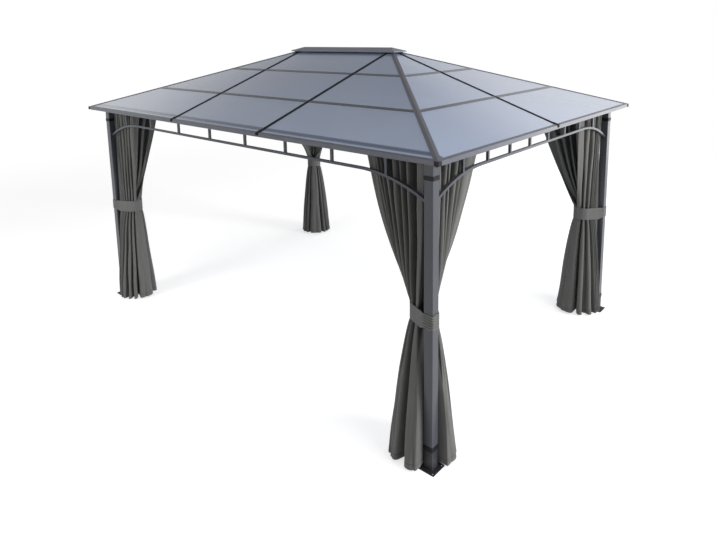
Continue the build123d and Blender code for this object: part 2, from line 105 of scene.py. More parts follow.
def add(tree, kind, settings=None, inputs=None):
    """Adds a shader node, sets its options, and sets or links its inputs."""
    node = tree.nodes.new("ShaderNode" + kind)
    for name, value in (settings or {}).items():
        setattr(node, name, value)
    for socket, value in (inputs or {}).items():
        if isinstance(value, bpy.types.NodeSocket):
            tree.links.new(value, node.inputs[socket])
        else:
            node.inputs[socket].default_value = value
    return node


def start_material(name):
    """An empty node material with its output node."""
    material = bpy.data.materials.new(name)
    material.use_nodes = True
    tree = material.node_tree
    tree.nodes.clear()
    return material, tree, tree.nodes.new("ShaderNodeOutputMaterial")


def per_metre(size_mm):
    """Texture scale that gives a pattern of this size in millimetres."""
    return 1 / (size_mm * MM)


def dress(material, *names):
    """Puts a material on pieces of the frame."""
    for name in names:
        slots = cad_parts[name].data.materials
        for index in range(len(slots)):
            slots[index] = material


# %% [markdown]
# ## Powder coated metal
# The posts, beams and rails are steel tubes with a baked powder coat. A powder coat is a plastic skin:
# it is not metallic, it has a satin gloss, and close up it has the fine dimples called orange peel.
# The dimples are finer than a pixel here, so they are drawn a few times coarser to catch the light.
# The purlins have the smoothest coat, so their far ends mirror the bright studio and look pale.

# %% Powder coat
CLOUD_MM = 320
PEEL_MM = 7
DIMPLE_MM = 0.6
COAT_GLOSS_SPREAD = 0.05


def powder_coat(name, dark, light, roughness, specular=0.5):
    """Satin baked coat: a faint change of tone from place to place and small dimples."""
    material, tree, output = start_material(name)
    place = add(tree, "TexCoord").outputs["Object"]
    clouds = add(tree, "TexNoise", inputs={"Vector": place, "Scale": per_metre(CLOUD_MM), "Detail": 3.0})
    tone = add(tree, "Mix", {"data_type": "RGBA"},
               {0: clouds.outputs["Fac"], 6: to_linear(dark), 7: to_linear(light)})
    peel = add(tree, "TexNoise", inputs={"Vector": place, "Scale": per_metre(PEEL_MM), "Detail": 2.0})
    dimples = add(tree, "Bump", inputs={
        "Height": peel.outputs["Fac"], "Strength": 0.12, "Distance": DIMPLE_MM * MM})
    gloss = add(tree, "MapRange", inputs={
        "Value": clouds.outputs["Fac"],
        "To Min": roughness - COAT_GLOSS_SPREAD, "To Max": roughness + COAT_GLOSS_SPREAD})
    shader = add(tree, "BsdfPrincipled", inputs={
        "Base Color": tone.outputs[2], "Roughness": gloss.outputs[0], "Normal": dimples.outputs[0],
        "IOR": 1.5, "Specular IOR Level": specular})
    tree.links.new(shader.outputs[0], output.inputs[0])
    return material


frame_coat = powder_coat("powder_coated_steel_grey", "#404248", "#484b51", 0.3, 0.3)
hip_coat = powder_coat("powder_coated_aluminium_grey", "#4c4c54", "#56565f", 0.6)
trim_coat = powder_coat("powder_coated_trim_grey", "#484b54", "#51545e", 0.3)
purlin_coat = powder_coat("powder_coated_purlin_grey", "#3a3c43", "#43454d", 0.18, 0.8)
foot_coat = powder_coat("powder_coated_foot_black", "#27282d", "#2f3035", 0.45, 0.35)

SIDES = ("front", "back", "left", "right")
for side in SIDES:
    dress(frame_coat, f"{side}_beam", f"{side}_frieze_rail")
    dress(trim_coat, f"{side}_eave_trim")
for corner in CORNERS:
    dress(frame_coat, f"{corner}_post")
    dress(foot_coat, f"{corner}_foot")
    dress(hip_coat, f"{corner}_hip_bar")
dress(frame_coat, "long_side_spacers", "short_side_spacers", "curtain_tracks")
dress(hip_coat, "ridge_bar", "ridge_hubs")
dress(powder_coat("powder_coated_cap_grey", "#666873", "#70727e", 0.5), "ridge_cap")
dress(purlin_coat, "long_side_purlins", "short_side_purlins")
print("powder coats on the frame, the feet and the roof bars")

# %% [markdown]
# ## Moulded plastic
# The collars round the posts and the caps on the eave corners are black moulded polypropylene. Moulds
# are spark eroded, which leaves a fine even grain and a soft, rather wide highlight. The rafters are
# covered with black extruded rubber, which has a like grain and is duller still.

# %% Black plastic
GRAIN_MM = 5
GRAIN_DEPTH_MM = 0.4
GRAIN_GLOSS_SPREAD = 0.08


def moulded_plastic(name, colour, roughness):
    """Fine mould grain on one plain colour."""
    material, tree, output = start_material(name)
    place = add(tree, "TexCoord").outputs["Object"]
    grain = add(tree, "TexNoise", inputs={"Vector": place, "Scale": per_metre(GRAIN_MM), "Detail": 4.0})
    bump = add(tree, "Bump", inputs={
        "Height": grain.outputs["Fac"], "Strength": 0.2, "Distance": GRAIN_DEPTH_MM * MM})
    gloss = add(tree, "MapRange", inputs={
        "Value": grain.outputs["Fac"],
        "To Min": roughness - GRAIN_GLOSS_SPREAD, "To Max": roughness + GRAIN_GLOSS_SPREAD})
    shader = add(tree, "BsdfPrincipled", inputs={
        "Base Color": to_linear(colour), "Roughness": gloss.outputs[0], "Normal": bump.outputs[0],
        "IOR": 1.49, "Specular IOR Level": 0.2})
    tree.links.new(shader.outputs[0], output.inputs[0])
    return material


black_plastic = moulded_plastic("moulded_polypropylene_black", "#0c0d0e", 0.5)
dress(black_plastic, "lower_collars", "upper_collars", "eave_corner_caps", "ridge_blocks")
dress(moulded_plastic("extruded_rubber_black", "#101114", 0.8), "rafters")
print("black plastic on collars, caps and ridge blocks, black rubber over the rafters")

# %% [markdown]
# ## Roof sheets
# The sheets are extruded polycarbonate with a smoke tint. They let a little of the frame below show
# through as a soft shadow, and at a low angle they mirror the bright studio, which is why the far ends
# of the roof look almost white. Alpha gives the first and the shader's own Fresnel gives the second.
# Towards the eaves more light comes up through them from the pale ground, so their tone rises a little
# there, and along the long eaves a dark band of painted shade lies over the lower edge of the sheets.

# %% Tinted polycarbonate
# A dark band of painted shade along the long eaves: its middle's distance from the eave edge and its
# width in millimetres, and the shares of the width where it is full and where it is gone.
SHADE_BAND_FROM_EDGE = 66
SHADE_BAND_WIDTH = 40
SHADE_BAND_FULL = 0.25
SHADE_BAND_GONE = 0.75
PALE_RISE = 310
PALE_AT_EAVE = 0.8
DRIFT_MM = 900
DRIFT_SHARE = 0.2
SHEET_WAVE_MM = 260
SHEET_WAVE_HEIGHT_MM = 4
EAVE_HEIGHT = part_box("front_roof_panels")[0].z


def tinted_sheet(name, dark, light, shade_band_colour, see_through):
    """Glossy tinted sheet with the faint waves that extrusion leaves and a band of painted shade along
    its lower edge.
    """
    material, tree, output = start_material(name)
    place = add(tree, "TexCoord").outputs["Object"]
    axes = add(tree, "SeparateXYZ", inputs={0: place})
    drift = add(tree, "TexNoise", inputs={"Vector": place, "Scale": per_metre(DRIFT_MM), "Detail": 2.0})
    paler = add(tree, "MapRange", inputs={
        "Value": axes.outputs["Z"], "From Min": EAVE_HEIGHT, "From Max": EAVE_HEIGHT + PALE_RISE * MM,
        "To Min": PALE_AT_EAVE, "To Max": 0.0})
    share = add(tree, "Math", {"operation": "MULTIPLY_ADD"},
                {0: drift.outputs["Fac"], 1: DRIFT_SHARE, 2: paler.outputs[0]})
    tone = add(tree, "Mix", {"data_type": "RGBA"},
               {0: share.outputs[0], 6: to_linear(dark), 7: to_linear(light)})
    # The band of painted shade along the long eaves, from the distance to the front and back edges.
    from_middle = add(tree, "Math", {"operation": "ABSOLUTE"}, {0: axes.outputs["Y"]})
    off_shade_band = add(tree, "Math", {"operation": "SUBTRACT"},
                   {0: from_middle.outputs[0], 1: cad_high.y - SHADE_BAND_FROM_EDGE * MM})
    off_shade_band = add(tree, "Math", {"operation": "ABSOLUTE"}, {0: off_shade_band.outputs[0]})
    in_shade_band = add(tree, "MapRange", {"interpolation_type": "SMOOTHSTEP"}, {
        "Value": off_shade_band.outputs[0],
        "From Min": SHADE_BAND_FULL * SHADE_BAND_WIDTH * MM, "From Max": SHADE_BAND_GONE * SHADE_BAND_WIDTH * MM,
        "To Min": 1.0, "To Max": 0.0})
    tone = add(tree, "Mix", {"data_type": "RGBA"},
               {0: in_shade_band.outputs[0], 6: tone.outputs[2], 7: to_linear(shade_band_colour)})
    waves = add(tree, "TexNoise", inputs={
        "Vector": place, "Scale": per_metre(SHEET_WAVE_MM), "Detail": 1.0})
    bump = add(tree, "Bump", inputs={
        "Height": waves.outputs["Fac"], "Strength": 0.25, "Distance": SHEET_WAVE_HEIGHT_MM * MM})
    shader = add(tree, "BsdfPrincipled", inputs={
        "Base Color": tone.outputs[2], "Roughness": 0.2, "IOR": 1.585, "Alpha": 1 - see_through,
        "Normal": bump.outputs[0], "Coat Weight": 1.0, "Coat Roughness": 0.12, "Coat IOR": 1.585})
    tree.links.new(shader.outputs[0], output.inputs[0])
    return material


# The third colour is the painted shade along the long eaves.
sheet_tint = tinted_sheet("extruded_polycarbonate_smoke", "#8290ac", "#9caac4", "#3a4d6c", 0.08)
dress(sheet_tint, *[f"{side}_roof_panels" for side in SIDES])
print("tinted sheets on four slopes")

# %% [markdown]
# ## Curtain cloth
# The curtains are woven polyester in charcoal. Each curtain's UV map is its flat cut in metres, so the
# weave follows the folds and the stitch lines lie at their true distance from the edges. A real
# thread is about half a millimetre, far too fine to show, so the ribs of the weave are drawn at 4 mm.
# The ties have the same cloth with rows of gathering thread across it; these rows are drawn dark, and
# the dark is partly painted shade in the grooves between the ribs. How much a seam shows, from 0 to 1,
# is an attribute of the mesh, because a gathered row and its painted shade show only where the cloth is
# drawn in.

# %% Woven polyester
THREAD_MM = 4.0
SLUB_MM = 9.0
SLUB_LENGTH_MM = 260.0
HEM_MM = 35.0
STITCH_MM = 2.5
# Tone of the seam rows: real stitching, and on the straps also painted shade in the grooves between the
# ribs.
SEAM_AND_GROOVE_SHADE_TONE = "#2e2e2d"
WEFT_SHARE = 0.4
THREAD_HEIGHT_MM = 0.5
# A wave texture repeats after this length at scale 1.
WAVE_PERIOD = 2 * math.pi / 20
# A spacing longer than any cut leaves one seam.
ONE_SEAM = 10.0


def woven_cloth(name, dark, light, seam, spacing=ONE_SEAM):
    """Upright warp ribs, fainter weft, uneven yarn, and dark seam rows upwards, partly painted shade on
    straps.
    """
    material, tree, output = start_material(name)
    cut = add(tree, "UVMap", {"uv_map": "cut"}).outputs[0]
    thread = WAVE_PERIOD / (THREAD_MM * MM)
    warp = add(tree, "TexWave", {"bands_direction": "X"}, {"Vector": cut, "Scale": thread})
    weft = add(tree, "TexWave", {"bands_direction": "Y"}, {"Vector": cut, "Scale": thread})
    weave = add(tree, "Math", {"operation": "MULTIPLY_ADD"},
                {0: weft.outputs["Fac"], 1: WEFT_SHARE, 2: warp.outputs["Fac"]})
    stretch = add(tree, "Mapping", inputs={
        "Vector": cut, "Scale": (per_metre(SLUB_MM), per_metre(SLUB_LENGTH_MM), 1.0)})
    slubs = add(tree, "TexNoise", inputs={"Vector": stretch.outputs[0], "Scale": 1.0, "Detail": 3.0})
    tone = add(tree, "Mix", {"data_type": "RGBA"},
               {0: slubs.outputs["Fac"], 6: to_linear(dark), 7: to_linear(light)})
    down = add(tree, "SeparateXYZ", inputs={0: cut}).outputs["Y"]
    to_seam = add(tree, "Math", {"operation": "SUBTRACT"}, {0: down, 1: seam})
    off_seam = add(tree, "Math", {"operation": "PINGPONG"}, {0: to_seam.outputs[0], 1: spacing / 2})
    on_seam = add(tree, "Math", {"operation": "LESS_THAN"}, {0: off_seam.outputs[0], 1: STITCH_MM * MM})
    drawn_in = add(tree, "Attribute", {"attribute_name": "seam_and_groove_shade"}).outputs["Fac"]
    seam_and_groove_shade = add(tree, "Math", {"operation": "MULTIPLY"}, {0: on_seam.outputs[0], 1: drawn_in})
    seam_and_shade_tone = add(tree, "Mix", {"data_type": "RGBA"},
                    {0: seam_and_groove_shade.outputs[0], 6: tone.outputs[2], 7: to_linear(SEAM_AND_GROOVE_SHADE_TONE)})
    bump = add(tree, "Bump", inputs={
        "Height": weave.outputs[0], "Strength": 0.3, "Distance": THREAD_HEIGHT_MM * MM})
    shader = add(tree, "BsdfPrincipled", inputs={
        "Base Color": seam_and_shade_tone.outputs[2], "Roughness": 0.88, "IOR": 1.45, "Normal": bump.outputs[0],
        "Sheen Weight": 0.18, "Sheen Roughness": 0.5})
    tree.links.new(shader.outputs[0], output.inputs[0])
    return material


STRAP_RIBS = 6
curtain_cloth = woven_cloth("woven_polyester_charcoal", "#4b4b4a", "#60605e", HEM_MM * MM)
tie_cloth = woven_cloth("woven_polyester_tie", "#545453", "#646463", 0.0,
                        (TIE_TOP - TIE_BOTTOM) / STRAP_RIBS)
print("cloth woven with hem lines at", HEM_MM, "mm")

# %% [markdown]
# ## How a curtain hangs
# A curtain could be dropped by a cloth simulation, but a tied curtain with deep folds needs many points
# and self collision, and it would land a little differently from the picture. Here each curtain is one
# grid of cloth, and its rows follow three given sections: pleats in a strip under the track, the same
# pleats gathered round the middle of the bundle at the tie, and the wide loose folds of the hem. Between
# the sections every fold runs on as one line, as it does in real cloth. Some creases fall open below the
# tie, and there two or three pleats become one broad panel.

# %% Sections of a curtain
HEM_HEIGHT = 25 * MM
RING_DROP = 14 * MM
TOP_HEIGHT = TRACK_BOTTOM - RING_DROP

# How round the folds are, the powers by which the skirt flares and its creases settle below the tie, and
# how far the fold lines wander.
FULLNESS = 0.5
FLARE_SHARE = 0.7
SETTLE_SHARE = 0.32
WANDER = 13 * MM

# The strip under the track, in millimetres along the side from the post's centre line and across it.
# The cloth's back edge hangs straight down beside the post.
STRIP_NEAR = 44
STRIP_OUTSIDE = 15
STRIP_INSIDE = 128
BACK_EDGE_ACROSS = 14
PAIR_GAP = 6

# No two folds are alike: the most by which one falls short inside, stands back outside in millimetres,
# and draws in at the tie and the hem. Each has its own row of the noise.
SHORT_INSIDE = 0.25
BACK_OUTSIDE = 14
DRAWN_IN = 0.08
INSIDE_ROW = 4.5
OUTSIDE_ROW = 7.5
EDGE_ROW = 12.5
FOLD_STEP = 1.73

# The bundle of both curtains at the tie: its middle inward along X and along Y, and its radius.
TIE_MIDDLE = Vector((135, 105)) * MM
TIE_REACH = 85 * MM

# How each pair was drawn back: the middle and radius of its hem in millimetres, the direction in degrees
# in which its two curtains meet, and its bow, a power: the smaller it is, the more the cloth swells out
# above the tie. Then, for each curtain, how far it spreads at the track, the widths of its pleats from
# the post outwards, and how deep their creases still are at the hem. No two pairs fall quite alike.
DRAWN = {
    "front_left": {
        "hem": (140, 76, 184), "meet": -4, "bow": 0.78,
        "long": (430, (0.15, 0.15, 0.15, 0.2, 0.2, 0.5, 1.0, 0.9, 1.0, 1.2),
                 (0.0, 1.0, 1.0, 1.0, 1.0, 1.0, 0.9, 1.0, 0.9, 1.0)),
        "short": (530, (0.3, 0.3, 0.5, 1.0, 0.8, 1.0, 1.2), (0.0, 1.0, 1.0, 1.0, 0.9, 1.0, 0.9))},
    "front_right": {
        "hem": (122, 82, 224), "meet": 45, "bow": 0.52,
        "long": (525, (2.4, 1.2, 1.1, 1.3, 1.3, 0.3, 0.3, 0.3, 1.6),
                 (0.0, 1.0, 0.0, 0.2, 1.0, 1.0, 1.0, 1.0, 0.6)),
        "short": (548, (0.5, 0.9, 0.8, 0.7, 1.0, 0.5, 2.0), (0.0, 0.0, 0.05, 0.9, 1.0, 0.9, 1.0))},
    "back_left": {
        "hem": (140, 104, 196), "meet": 45, "bow": 0.7,
        "long": (640, (0.8, 1.0, 0.9, 1.1, 0.8, 0.7, 0.7, 1.0, 1.6),
                 (0.0, 1.0, 0.2, 1.0, 0.9, 0.3, 1.0, 0.9, 0.6)),
        "short": (620, (0.9, 0.8, 1.0, 0.7, 1.1, 0.9, 1.6), (0.0, 0.9, 0.2, 1.0, 0.9, 0.3, 0.9))},
    "back_right": {
        "hem": (146, 110, 208), "meet": 66, "bow": 0.78,
        "long": (690, (0.3, 0.3, 0.3, 0.4, 0.8, 1.0, 0.9, 1.2, 1.8),
                 (0.0, 1.0, 1.0, 0.8, 1.0, 0.9, 0.4, 0.9, 0.5)),
        "short": (590, (0.2, 0.2, 0.3, 0.3, 1.0, 1.1, 1.4), (0.0, 1.0, 1.0, 1.0, 0.9, 0.4, 0.9))},
}

# The direction in degrees in which each curtain's fan of folds starts beside the post, and how near the
# middle its valleys reach.
FAN_START = {"long": -120, "short": 190}
TIE_VALLEY = 0.1
HEM_VALLEY = 0.34

# A pleat from valley to valley, and the last pleat, whose free edge stays outside as one flat panel.
PLEAT = ((0.0, 0.0), (0.13, 0.03), (0.23, 0.45), (0.29, 0.9),
         (0.5, 1.0), (0.71, 0.9), (0.77, 0.45), (0.87, 0.03))
LAST_PLEAT = ((0.0, 0.0), (0.07, 0.04), (0.13, 0.5), (0.17, 0.9),
              (0.38, 1.0), (0.6, 1.0), (0.78, 1.0), (0.9, 0.97))
FREE_EDGE = 0.9

# Where the two curtains meet they lap by a few degrees, and the long one's last points are tucked under.
LAP = 5
TUCKED = {-3: 0.97, -2: 0.92, -1: 0.84}


def unevenness(index, seed, noise_row):
    """A repeatable number from about -1 to 1 for one fold."""
    return noise.noise(Vector((index * FOLD_STEP, seed, noise_row)))


def fold_line(widths):
    """Places along a folded edge: share of its width, how far out it stands, and the nearest valley."""
    start = 0.0
    last = len(widths) - 1
    for fold, width in enumerate(widths):
        for place, out in PLEAT if fold < last else LAST_PLEAT:
            nearest = fold if place < 0.5 or fold == last else fold + 1
            yield (start + place * width) / sum(widths), out, nearest
        start += width
    yield 1.0, FREE_EDGE, last


def beside_post(side, along, across):
    """A place in metres inward along X and along Y, from millimetres along and across a side."""
    return Vector((along, across) if side == "long" else (across, along)) * MM


def strip_of_pleats(side, far, widths, seed):
    """Section at the track: pleats between the beam and the inside, clear of the other curtain."""
    points = []
    for share, out, valley in fold_line(widths):
        along = STRIP_NEAR + (far - STRIP_NEAR) * share
        inside = STRIP_INSIDE * (1 - SHORT_INSIDE * abs(unevenness(valley, seed, INSIDE_ROW)))
        inside = min(inside, along - PAIR_GAP)
        outside = STRIP_OUTSIDE + BACK_OUTSIDE * abs(unevenness(valley, seed, OUTSIDE_ROW))
        points.append(beside_post(side, along, inside + (outside - inside) * out))
    return points


def fan_of_folds(side, meet, centre, reach_at, valley_share, widths, creases, seed):
    """Section at the tie or the hem: folds round the bundle's middle, from the post to the free edge."""
    points = []
    start = math.radians(FAN_START[side])
    end = math.radians(meet + LAP if side == "long" else meet - LAP)
    for share, out, valley in fold_line(widths):
        angle = start + (end - start) * share
        edge = reach_at(angle) * (1 - DRAWN_IN * abs(unevenness(valley, seed, EDGE_ROW)))
        bottom = edge * (1 - creases[valley] * (1 - valley_share))
        way = Vector((math.cos(angle), math.sin(angle)))
        points.append(centre + way * (bottom + (edge - bottom) * out))
    if side == "long":
        for index, share in TUCKED.items():
            points[index] = centre.lerp(points[index], share)
    points[0] = beside_post(side, STRIP_NEAR, BACK_EDGE_ACROSS)
    return points


def smooth_line(points, position, fullness):
    """Point on a smooth line through points. Position 1.5 is halfway from the second to the third."""
    last = len(points) - 1
    start = min(int(position), last - 1)
    t = position - start
    before, after = points[max(start - 1, 0)], points[min(start + 2, last)]
    here, there = points[start], points[start + 1]
    leave, arrive = (there - before) * fullness, (after - here) * fullness
    return (here * (2 * t**3 - 3 * t**2 + 1) + leave * (t**3 - 2 * t**2 + t)
            + there * (3 * t**2 - 2 * t**3) + arrive * (t**3 - t**2))


SWAY_STEP = 0.37
SWAY_RISE = 2.3
DIP_RISE = 2.7
DIP_SEED = 9.0


def section_at(height, sections, bow, seed):
    """The section's points at a height, between the track, the tie and the hem."""
    top, tie, settled, hem = sections
    if height > TIE_TOP:
        share = ((height - TIE_TOP) / (TOP_HEIGHT - TIE_TOP)) ** bow
        points = [a.lerp(b, share) for a, b in zip(tie, top)]
    else:
        below = max((TIE_BOTTOM - height) / (TIE_BOTTOM - HEM_HEIGHT), 0.0)
        share = below ** FLARE_SHARE
        loose = [a.lerp(b, below ** SETTLE_SHARE) for a, b in zip(tie, settled)]
        points = [a.lerp(b, share) for a, b in zip(loose, hem)]
    for index in range(1, len(points)):
        sway = noise.noise(Vector((index * SWAY_STEP, seed, height * SWAY_RISE)))
        dip = noise.noise(Vector((index * SWAY_STEP, seed + DIP_SEED, height * DIP_RISE)))
        points[index] = points[index] + Vector((sway, dip)) * WANDER * share
    return points


print("curtain from", round(TOP_HEIGHT, 3), "to", HEM_HEIGHT, "m")

# %% [markdown]
# ## Where the tie pulls
# The strap is a loop pulled tight round the post and the bundle: in every direction it runs over
# whichever of the two reaches further. The same loop bounds the folds at the tie, so cloth and strap
# always fit each other.

# %% The tight loop
STRAP_OFF_POST = 0.8 * MM
STRAP_OFF_BUNDLE = 3 * MM
STRAP_ROUND = 4 * MM
LOOP_STEPS = 180


def tight_loop():
    """Closed outline pulled tight round the post and the tied bundle, inward along X and along Y."""
    points = []
    corner_reach = HALF_POST + STRAP_OFF_POST - STRAP_ROUND
    for step in range(LOOP_STEPS):
        angle = 2 * math.pi * (step + 0.5) / LOOP_STEPS
        way = Vector((math.cos(angle), math.sin(angle)))
        on_post = Vector((math.copysign(corner_reach, way.x), math.copysign(corner_reach, way.y)))
        on_post += way * STRAP_ROUND
        on_bundle = TIE_MIDDLE + way * TIE_REACH
        points.append(on_post if on_post.dot(way) > on_bundle.dot(way) else on_bundle)
    return points


LOOP = tight_loop()


def tie_reach(angle):
    """How far the loop lies from the middle of the bundle in one direction, less room for the strap."""
    way = Vector((math.cos(angle), math.sin(angle)))
    for a, b in zip(LOOP, LOOP[1:] + LOOP[:1]):
        run = b - a
        facing = way.cross(run)
        if facing == 0.0:
            continue
        reach = (a - TIE_MIDDLE).cross(run) / facing
        if reach > 0.0 and 0.0 <= (a - TIE_MIDDLE).cross(way) / facing <= 1.0:
            return reach - STRAP_OFF_BUNDLE
    return TIE_REACH


print("loop", round(tie_reach(0.0), 3), "m from its middle along the front")

# %% [markdown]
# ## The curtains
# Two curtains hang at every post, one for each side it stands between. The grid gets its thickness from
# Solidify, which is told by a vertex group to make the hems thicker, because there the cloth is folded
# over and sewn.

# %% Curtain pieces
ROWS = 96
POINTS_PER_FOLD = len(PLEAT)
COLUMNS_PER_FOLD = 24
CLOTH_MM = 1.2
FLAT_WIDTH = {"long": 1.9, "short": 1.4}
FLAT_LENGTH = TOP_HEIGHT - HEM_HEIGHT
HEM_THICKNESS_MM = 3.0
HEM_SHOWS = 0.6
CORNER_SEED = 3.7
SIDE_SEED = 1.9


def at_corner(corner, inward, height):
    """A point near a post, from its distances inward along X and along Y."""
    sx, sy = CORNERS[corner]
    post = POST_AT[corner]
    return Vector((post.x - sx * inward.x, post.y - sy * inward.y, height))


def finish_piece(name, bm, material):
    """Makes an object of a bmesh, rides it on the frame and gives it its material."""
    mesh = bpy.data.meshes.new(name)
    bm.to_mesh(mesh)
    bm.free()
    mesh.polygons.foreach_set("use_smooth", [True] * len(mesh.polygons))
    piece = bpy.data.objects.new(name, mesh)
    bpy.context.scene.collection.objects.link(piece)
    mesh.materials.append(material)
    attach(piece, "root")
    return piece


def make_curtain(corner, side, seed):
    """One gathered curtain, and the places of its pleats at the track."""
    meet = DRAWN[corner]["meet"]
    *hem_middle, hem_reach = (length * MM for length in DRAWN[corner]["hem"])
    far, widths, creases = DRAWN[corner][side]
    all_creased = [1.0] * len(widths)
    hem_middle = Vector(hem_middle)
    sections = (
        strip_of_pleats(side, far, widths, seed),
        fan_of_folds(side, meet, TIE_MIDDLE, tie_reach, TIE_VALLEY, widths, all_creased, seed),
        fan_of_folds(side, meet, TIE_MIDDLE, tie_reach, TIE_VALLEY, widths, creases, seed),
        fan_of_folds(side, meet, hem_middle, lambda angle: hem_reach, HEM_VALLEY, widths, creases, seed),
    )
    bm = bmesh.new()
    cut = bm.loops.layers.uv.new("cut")
    seam_and_groove_shade = bm.verts.layers.float.new("seam_and_groove_shade")
    bmesh.ops.create_grid(bm, x_segments=len(widths) * COLUMNS_PER_FOLD, y_segments=ROWS, size=0.5)
    for face in bm.faces:
        for loop in face.loops:
            at = loop.vert.co
            loop[cut].uv = ((at.x + 0.5) * FLAT_WIDTH[side], (at.y + 0.5) * FLAT_LENGTH)
    hem_points = []
    rows = {}
    for vert in bm.verts:
        across_cloth, up_cloth = vert.co.x + 0.5, vert.co.y + 0.5
        row = round(up_cloth * ROWS)
        height = HEM_HEIGHT + up_cloth * FLAT_LENGTH
        if row not in rows:
            rows[row] = section_at(height, sections, DRAWN[corner]["bow"], seed)
        if up_cloth * FLAT_LENGTH < HEM_MM * MM:
            hem_points.append(vert.index)
        vert[seam_and_groove_shade] = HEM_SHOWS
        place = smooth_line(rows[row], across_cloth * POINTS_PER_FOLD * len(widths), FULLNESS)
        vert.co = at_corner(corner, place, height)
    bmesh.ops.recalc_face_normals(bm, faces=bm.faces)
    used = sum(face.calc_area() for face in bm.faces) / (FLAT_WIDTH[side] * FLAT_LENGTH)
    print(corner, side, "side curtain: folds take up", round(used, 2), "of its flat cut")
    piece = finish_piece(f"{corner}_{side}_side_curtain", bm, curtain_cloth)
    hems = piece.vertex_groups.new(name="hem")
    hems.add(hem_points, 1.0, "REPLACE")
    wall = piece.modifiers.new("cloth", "SOLIDIFY")
    wall.thickness = HEM_THICKNESS_MM * MM
    wall.offset = 0.0
    wall.vertex_group = hems.name
    wall.thickness_vertex_group = CLOTH_MM / HEM_THICKNESS_MM
    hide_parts(f"{corner}_curtains")
    return piece, sections[0]


curtains = {}
pleats = {}
for number, corner in enumerate(CORNERS):
    for offset, side in enumerate(FLAT_WIDTH):
        seed = CORNER_SEED * number + SIDE_SEED * offset
        curtains[corner, side], pleats[corner, side] = make_curtain(corner, side, seed)
print("curtains hung:", len(curtains))

# %% [markdown]
# ## Curtain rings
# Every outer pleat hangs from a small ring that slides in the slotted track. A ring is a circle spun
# round an axis, and all the rings of one curtain are one piece.

# %% Rings in the tracks
RING_RADIUS = 11 * MM
RING_WIRE = 1.5 * MM
RING_STEPS = 16
WIRE_SIDES = 6
RING_ACROSS = 35
RING_CENTRE = TRACK_BOTTOM - 6 * MM
MERGE_WITHIN = 0.05 * MM


def add_ring(bm, centre, side):
    """A ring standing upright, square to the side it hangs on."""
    across = Vector((0, 1, 0)) if side == "long" else Vector((1, 0, 0))
    axis = Vector((0, 0, 1)).cross(across)
    wire = bmesh.ops.create_circle(bm, segments=WIRE_SIDES, radius=RING_WIRE)["verts"]
    turn = Matrix((across, Vector((0, 0, 1)), axis)).transposed()
    upright = Matrix.Rotation(math.pi / 2, 3, "X")
    bmesh.ops.transform(bm, matrix=(turn @ upright).to_4x4(), verts=wire)
    bmesh.ops.translate(bm, vec=centre + across * RING_RADIUS, verts=wire)
    edges = list({edge for vert in wire for edge in vert.link_edges})
    bmesh.ops.spin(bm, geom=wire + edges, cent=centre, axis=axis, angle=2 * math.pi, steps=RING_STEPS,
                   use_merge=True)


galvanised = powder_coat("zinc_plated_steel_ring", "#8d9096", "#9ea1a6", 0.35)
for (corner, side), points in pleats.items():
    bm = bmesh.new()
    for point in points[POINTS_PER_FOLD // 2::POINTS_PER_FOLD]:
        along = (point.x if side == "long" else point.y) / MM
        add_ring(bm, at_corner(corner, beside_post(side, along, RING_ACROSS), RING_CENTRE), side)
    bmesh.ops.remove_doubles(bm, verts=bm.verts, dist=MERGE_WITHIN)
    bmesh.ops.recalc_face_normals(bm, faces=bm.faces)
    rings = finish_piece(f"{corner}_{side}_side_rings", bm, galvanised)

# %% [markdown]
# ## Tie straps
# A strap of the same cloth holds both curtains to the post. It is sewn over elastic, so it puckers into
# level ribs where it is pulled tight over the post. The strap is a grid wrapped round the tight loop,
# and the ribs are real waves in the cloth. Its UV map follows the ribs, so the rows of thread in the
# material run along the grooves, where their dark tone is also painted shade.

# %% Ruched straps
RIB_HEIGHT = 4.0 * MM
RIB_WANDER = 0.4
PUCKER = 18 * MM
EASE = 40 * MM
LEAST_TIGHT = 0.15
WOBBLES = 4
WOBBLE_HEIGHT = 1.0 * MM
STRAP_SEED = 5.3
STRAP_COLUMNS = 220
STRAP_ROWS = 42


def along_loop(points, share):
    """Place and outward direction at a share of a closed outline's length."""
    ends = points[1:] + points[:1]
    lengths = [(b - a).length for a, b in zip(points, ends)]
    distance = share * sum(lengths)
    for a, b, length in zip(points, ends, lengths):
        if distance < length:
            way = (b - a) / length
            return a + way * distance, Vector((way.y, -way.x))
        distance -= length
    way = (points[1] - points[0]).normalized()
    return points[0], Vector((way.y, -way.x))


